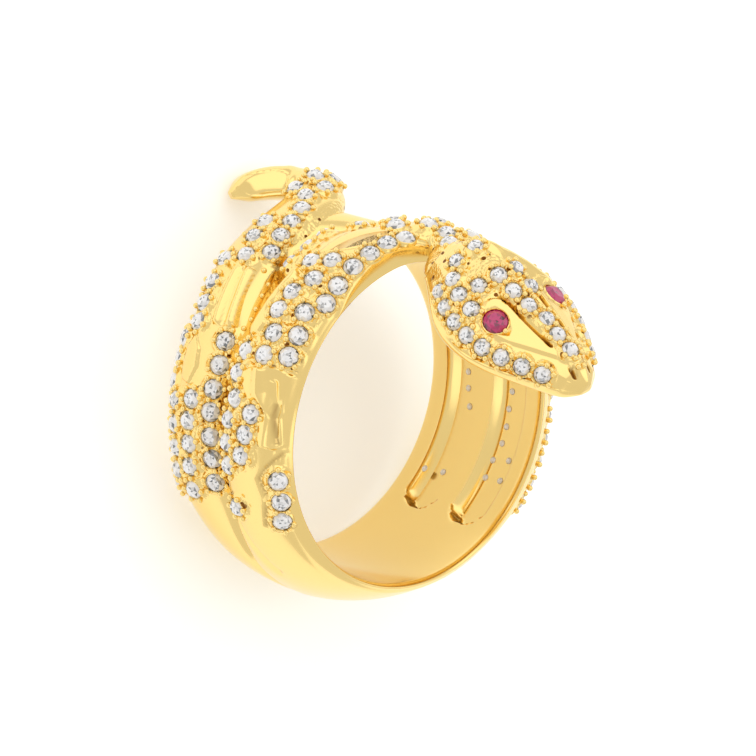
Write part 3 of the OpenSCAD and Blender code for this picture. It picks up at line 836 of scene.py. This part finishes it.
STONE_FADE, EYE_FADE, GROUND_FADE = (1.15, 1.65), (1.02, 1.2), (1.3, 1.9)
all_stones = [s for node in STONE_NODES for s in seats[node]]
eye_stones = [s for node in EYE_NODES for s in seats[node]]
for piece in (band, tail, neck, head):
    near_stone = sink_seats(piece, all_stones, STONE_FADE)
    sink_seats(piece, eye_stones, EYE_FADE)
    dotted, plain = get_mark(piece, "dotted"), get_mark(piece, "plain")
    closeness = 1 - soft_step(*GROUND_FADE, near_stone)
    put_mark(piece, "ground", np.maximum(dotted, closeness) * (1 - plain))
    # The painted shade of the grooves stops beside a stone
    put_mark(piece, "dark", get_mark(piece, "dark") * (near_stone > GROUND_FADE[0]))
    print(piece.name, int((near_stone < SEAT_REACH).sum()), "points in seats")

# %% The casting in two pieces
strands = join([tail, neck, head], "cast_head_and_tail")
band.name = band.data.name = "cast_band"
castings = [band, strands]
for piece in castings:
    pick(piece)
    bpy.ops.object.shade_smooth_by_angle(angle=math.radians(50))
    cut = np.zeros(len(piece.data.polygons), dtype=np.float32)
    piece.data.attributes["wall"].data.foreach_get("value", cut)
    piece.data.polygons.foreach_set("use_smooth", cut < .5)
    piece.data.attributes.remove(piece.data.attributes["wall"])
    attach(piece, "root")
    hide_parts("snake_band")
    print(piece.name, sum(len(p.vertices) - 2 for p in piece.data.polygons), "triangles")

# %% [markdown]
# ## Collars and beads
#
# The bright line round each stone is the thin collar that the cutter leaves, and the little
# balls are beads of metal raised against the stone. One collar is a small torus with a pressed
# section, one bead is a small ball. Each is modelled once and copied to every seat. A bead that
# would stand on a stone or on another bead is left out, as a setter shares beads.

# %% Copy one shape to many places

def at_seat(base, axis, size, spin=0):
    turned = axis.to_track_quat("Z", "Y").to_matrix().to_4x4()
    return Matrix.Translation(base) @ turned @ Matrix.Rotation(spin, 4, "Z") @ Matrix.Diagonal((*size, 1))

def copies(model, places, name):
    made = []
    for place in places:
        copy = add_object(name, model.data.copy())
        copy.data.transform(place)
        made.append(copy)
    bpy.data.objects.remove(model)
    return join(made, name)

# %% Collars
# The section's points are a radius and a height, both as shares of the stone's radius
section = np.array([[1.22, -.3], [1.14, .08], [1.06, .13], [1.02, .06], [1.02, -.3]])
deselect()
bpy.ops.mesh.primitive_torus_add(
    major_segments=18, minor_segments=len(section), major_radius=1, minor_radius=.1)
collar = bpy.context.object
points = points_of(collar)
wide, high = section[np.arange(len(points)) % len(section)].T
angle = np.arctan2(points[:, 1], points[:, 0])
place_points(collar, np.stack([np.cos(angle) * wide, np.sin(angle) * wide, high], -1))
collars = copies(collar, [at_seat(b, n, (a / 2,) * 3) for b, n, a in all_stones + eye_stones], "collars")
print("collars:", len(collars.data.polygons), "faces")

# %% Beads round the stones
# The last four values are shares of a bead's radius
BEAD_R = 0.16 * MM
BEADS_ROUND, BEAD_TWIST = 6, 37
BEAD_OUT, BEAD_UP, BEADS_APART, BEAD_CLEAR = .75, .5, 2.1, .35
deselect()
bpy.ops.mesh.primitive_ico_sphere_add(subdivisions=2, radius=1)
bead = bpy.context.object
skins = [BVHTree.FromObject(piece, bpy.context.evaluated_depsgraph_get()) for piece in castings]

def nearest_metal(spot):
    return min((skin.find_nearest(spot) for skin in skins), key=lambda hit: hit[3])

bead_places = []
for index, (base, axis, across) in enumerate(all_stones):
    first = Vector((1, 0, 0)) if abs(axis.x) < .9 else Vector((0, 1, 0))
    first = (first - axis * first.dot(axis)).normalized()
    second = axis.cross(first)
    for k in range(BEADS_ROUND):
        turn = math.radians(360 / BEADS_ROUND * k + BEAD_TWIST * index)
        outwards = first * math.cos(turn) + second * math.sin(turn)
        spot = base + outwards * (across / 2 + BEAD_R * BEAD_OUT)
        centre = nearest_metal(spot)[0] + axis * BEAD_R * BEAD_UP
        crowded = any((centre - other).length < BEAD_R * BEADS_APART for other, _ in bead_places)
        blocked = any((centre - b).length < a / 2 + BEAD_R * BEAD_CLEAR for b, _, a in all_stones)
        if not crowded and not blocked:
            bead_places.append((centre, axis))
print("beads round the stones:", len(bead_places))

# %% Beads in rows, on the nose and by the eyes
FREE_UP, EYE_OUT, EYE_UP = .4, .6, .7
coil_beads = [(126, -1.35), (128.8, -.95), (133.2, -.75), (138, -.6), (141.6, -.5), (145.2, -.5),
    (148.6, -.3)]
nose_beads = [(.885, -.1), (.93, -.16), (.935, .06)]

def on_coil(turn, z):
    radius = BORE_R + band_height(np.array([float(turn)]), np.array([z]))[0]
    return as_it_lies(polar(np.array(float(turn)), radius, z))

def on_head_back(u, v):
    half_width, ridge_height = (float(smooth_row(np.array(u), column)) for column in (1, 2))
    up = ridge_height * float(np.interp(abs(v), back_profile[:, 0], back_profile[:, 1]))
    return as_it_lies(nape + head_along * HEAD_L * u + head_across * HEAD_W * half_width * v
                      + head_up * HEAD_H * up)

for spot in [on_coil(turn, z) for turn, z in coil_beads] + [on_head_back(u, v) for u, v in nose_beads]:
    place, normal = nearest_metal(Vector(spot))[:2]
    bead_places.append((place + normal * BEAD_R * FREE_UP, normal))
ahead = Vector(as_it_lies(head_along)).normalized()
for base, axis, across in eye_stones:
    forward = (ahead - axis * ahead.dot(axis)).normalized()
    bead_places.append((base + forward * (across / 2 + BEAD_R * EYE_OUT) + axis * BEAD_R * EYE_UP, axis))
beads = copies(bead, [at_seat(c, n, (BEAD_R,) * 3) for c, n in bead_places], "beads")
print("beads in all:", len(bead_places))

# %% Settings as one piece
settings = join([collars, beads], "settings")
pick(settings)
bpy.ops.object.shade_smooth_by_angle(angle=math.radians(60))
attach(settings, "root")
print("settings:", sum(len(p.vertices) - 2 for p in settings.data.polygons), "triangles")

# %% [markdown]
# ## A round brilliant
#
# A round stone has a flat table, a crown of small facets down to its edge, the girdle, and a
# cone of facets below. A coarse ball with sixteen longitudes has just enough rings. Pairs of
# points on the ring of the table are drawn together, and pairs one step on are drawn together on
# the ring below, so the quads between them fold into the kites and stars of a brilliant.

# %% Model one brilliant
# FACET is the angle between two longitudes
LONGITUDES = 16
FACET = 360 / LONGITUDES

def model_brilliant():
    ball, ring, around = add_ball("brilliant", 7, LONGITUDES)
    index = np.rint(around / FACET).astype(int) % LONGITUDES
    points = np.zeros((len(ring), 3))
    even = np.radians((index // 2) * 2 * FACET + FACET / 2)
    odd = np.radians(((index + 1) // 2) * 2 * FACET - FACET / 2)
    edge = np.radians(index * FACET)
    rings = [(0, .27, edge), (.3, .275, odd), (.58, .28, even), (.8, .17, odd), (.985, .04, edge),
    (1, 0, edge), (.97, -.05, edge), (0, -.28, edge)]
    for k, (radius, height, angle) in enumerate(rings):
        on = ring == k
        points[on] = np.stack([radius * np.cos(angle), radius * np.sin(angle), height + 0 * angle], -1)[on]
    place_points(ball, points)
    bpy.ops.object.mode_set(mode="EDIT")
    bpy.ops.mesh.select_all(action="SELECT")
    bpy.ops.mesh.remove_doubles(threshold=.001)
    bpy.ops.mesh.quads_convert_to_tris(quad_method="FIXED", ngon_method="BEAUTY")
    bpy.ops.object.mode_set(mode="OBJECT")
    return ball

# %% Set the stones
# Each facet gets its own painted glint at random, which the stone's colour paints as a light or a dark
# reflection
MODEL_RISE, STONE_RISE = .3, .3 * MM
FULL_TURN, GLINT_POWER = 6.28, .75
shade = np.random.default_rng(7)

def cut_stones(places, name, least=0):
    stones = copies(model_brilliant(), places, name)
    painted_glint = stones.data.attributes.new("painted_glint", "FLOAT", "FACE")
    shades = shade.uniform(least, 1, len(stones.data.polygons)) ** GLINT_POWER
    painted_glint.data.foreach_set("value", shades.astype(np.float32))
    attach(stones, "root")
    print(name, len(stones.data.polygons), "facets")
    return stones

def set_stones(node, name):
    rise = STONE_RISE / MODEL_RISE
    places = [at_seat(b, n, (a / 2, a / 2, rise), shade.uniform(0, FULL_TURN)) for b, n, a in seats[node]]
    stones = cut_stones(places, name)
    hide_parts(node)
    return stones

clear = [set_stones(node, "cut_" + node) for node in STONE_NODES]
eyes = [set_stones(node, "cut_" + node) for node in EYE_NODES]

# %% [markdown]
# ## The backs of the stones
#
# The seats of the flank are drilled right through, so that light reaches the stones from behind.
# Inside the ring, on the floor of each recess, the backs of those stones show as small bright
# points that face the finger.

# %% Set the backs in the two recesses
# LEAST_GLINT keeps the backs' painted glints high: a painted highlight so they read bright in the shade of
# the recess
BACK_R, BACK_OUT, LEAST_GLINT = 0.19 * MM, .02, .6
back_marks = [(-2.2, -2.05), (-7.8, -1.95), (-13.8, -1.65), (-39.4, -2.89), (-37.9, -1.95),
    (-4.5, 1.45), (-10.6, 1.35), (-16.6, 1.4), (-22.4, 1.39), (-28.7, 1.15),
    (-27.3, 2.28), (-35.1, 1.15), (-34.6, 2.25)]
back_places = []
for turn, z in back_marks:
    floor_r = BORE_R + float(recess_depth(np.array(turn), z))
    spot = as_it_lies(polar(np.array(turn), floor_r - BACK_OUT, z))
    inward = as_it_lies(polar(np.array(turn), -1.0, 0))
    back_places.append(at_seat(Vector(spot), Vector(inward).normalized(), (BACK_R, BACK_R, STONE_RISE)))
clear.append(cut_stones(back_places, "stone_backs", LEAST_GLINT))

# %% [markdown]
# ## Finishes
#
# Polished gold is a metal with a low roughness that drifts a little from place to place. The
# ground between the stones has a bead-like grain and small specks of painted shade. The three are
# one node group with named inputs, so the casting and the settings can use it with their own values.

# %% A node group for the polish
polish = bpy.data.node_groups.new("hand polish with shade specks", "ShaderNodeTree")
for label, value in (("Drift Scale", 900), ("Smooth", .1), ("Rough", .2), ("Grain Scale", 5200),
    ("Ground", 0), ("Speck Scale", 1500), ("Speck Size", .19)):
    socket = polish.interface.new_socket(label, in_out="INPUT", socket_type="NodeSocketFloat")
    socket.default_value = value
for label in ("Roughness", "Grain", "Shade Specks"):
    polish.interface.new_socket(label, in_out="OUTPUT", socket_type="NodeSocketFloat")

def math_node(nodes, operation):
    node = nodes.new("ShaderNodeMath")
    node.operation = operation
    return node

n = polish.nodes
given, result = n.new("NodeGroupInput"), n.new("NodeGroupOutput")
where, span = n.new("ShaderNodeTexCoord"), n.new("ShaderNodeMapRange")
drift = n.new("ShaderNodeTexNoise")
# On the ground, small cells become specks of painted shade between the grains
grain, shade_speck = n.new("ShaderNodeTexVoronoi"), n.new("ShaderNodeTexVoronoi")
masked, in_shade_speck = math_node(n, "MULTIPLY"), math_node(n, "LESS_THAN")
on_ground = math_node(n, "MULTIPLY")
set_inputs(drift, {"Detail": 4})
wires = [
    (where, "Object", drift, "Vector"), (given, "Drift Scale", drift, "Scale"),
    (drift, "Fac", span, "Value"), (given, "Smooth", span, "To Min"), (given, "Rough", span, "To Max"),
    (span, "Result", result, "Roughness"),
    (where, "Object", grain, "Vector"), (given, "Grain Scale", grain, "Scale"),
    (grain, "Distance", masked, 0), (given, "Ground", masked, 1), (masked, "Value", result, "Grain"),
    (where, "Object", shade_speck, "Vector"), (given, "Speck Scale", shade_speck, "Scale"),
    (shade_speck, "Distance", in_shade_speck, 0), (given, "Speck Size", in_shade_speck, 1),
    (in_shade_speck, "Value", on_ground, 0), (given, "Ground", on_ground, 1),
    (on_ground, "Value", result, "Shade Specks")]
for source, output, target, socket in wires:
    polish.links.new(source.outputs[output], target.inputs[socket])
print("polish:", len(wires), "wires between", len(n), "nodes")

# %% Gold
# The second colour is painted shade, mixed into the casting along the grooves and at the specks
GOLD, PAINTED_SHADE_GOLD = (0.96, 0.715, 0.275, 1), (0.2, 0.07, 0.01, 1)

def dress(pieces, look):
    for piece in pieces:
        piece.data.materials.clear()
        piece.data.materials.append(look)
    print(look.name, "on", [piece.name for piece in pieces])

def gold(name, smooth, rough, on_casting=False):
    made, look = new_look(name)
    n, link = made.node_tree.nodes, made.node_tree.links.new
    set_inputs(look, {"Base Color": GOLD, "Metallic": 1})
    finish = n.new("ShaderNodeGroup")
    finish.node_tree = polish
    set_inputs(finish, {"Smooth": smooth, "Rough": rough})
    if on_casting:
        # The casting's base colour is painted darker, as shade, along the groove marks and at the shade
        # specks
        ground, dark = n.new("ShaderNodeAttribute"), n.new("ShaderNodeAttribute")
        ground.attribute_name, dark.attribute_name = "ground", "dark"
        link(ground.outputs["Fac"], finish.inputs["Ground"])
        painted_shade_share = math_node(n, "MAXIMUM")
        link(dark.outputs["Fac"], painted_shade_share.inputs[0])
        link(finish.outputs["Shade Specks"], painted_shade_share.inputs[1])
        tone = n.new("ShaderNodeMix")
        tone.data_type = "RGBA"
        set_inputs(tone, {"A": GOLD, "B": PAINTED_SHADE_GOLD})
        link(painted_shade_share.outputs["Value"], tone.inputs["Factor"])
        link(tone.outputs["Result"], look.inputs["Base Color"])
    link(finish.outputs["Roughness"], look.inputs["Roughness"])
    bump = n.new("ShaderNodeBump")
    set_inputs(bump, {"Strength": .35, "Distance": .0001})
    link(finish.outputs["Grain"], bump.inputs["Height"])
    link(bump.outputs["Normal"], look.inputs["Normal"])
    return made

dress(castings, gold("polished yellow gold", .13, .23, on_casting=True))
dress([settings], gold("raised gold beads", .1, .18))

# %% Stones
# A facet whose painted glint is under DULL_GLINT is painted dark, and one over BRIGHT_GLINT is painted light,
# as a reflection
DULL_GLINT, BRIGHT_GLINT = .12, .5

# The dull and the bright colours are painted reflections of the facets: painted shade and painted highlight
def cut_stone(name, dark, light, through, bend):
    made, look = new_look(name)
    n, link = made.node_tree.nodes, made.node_tree.links.new
    set_inputs(look, {"Roughness": .03, "IOR": bend, "Transmission Weight": through})
    mark = n.new("ShaderNodeAttribute")
    mark.attribute_name = "painted_glint"
    ramp = n.new("ShaderNodeValToRGB")
    for stop, place, tone in zip(ramp.color_ramp.elements, (DULL_GLINT, BRIGHT_GLINT), (dark, light)):
        stop.position = place
        stop.color = (*tone, 1)
    link(mark.outputs["Fac"], ramp.inputs["Fac"])
    link(ramp.outputs["Color"], look.inputs["Base Color"])
    return made

dress(clear, cut_stone("clear cut stone", (.12, .13, .15), (.97, .97, 1), .15, 2.2))
dress(eyes, cut_stone("pink red cut stone", (.08, .001, .025), (.6, .012, .16), .2, 1.77))

# %% [markdown]
# ## The size of the dressed ring
#
# The dressed ring's box is measured and printed, to set beside the CAD box printed at the start.
# The dressed ring must stay the size of the imported one.

# %% Measure the dressed ring
low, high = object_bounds()
print("visual box in mm:", [round((b - a) * 1000, 2) for a, b in zip(low, high)])
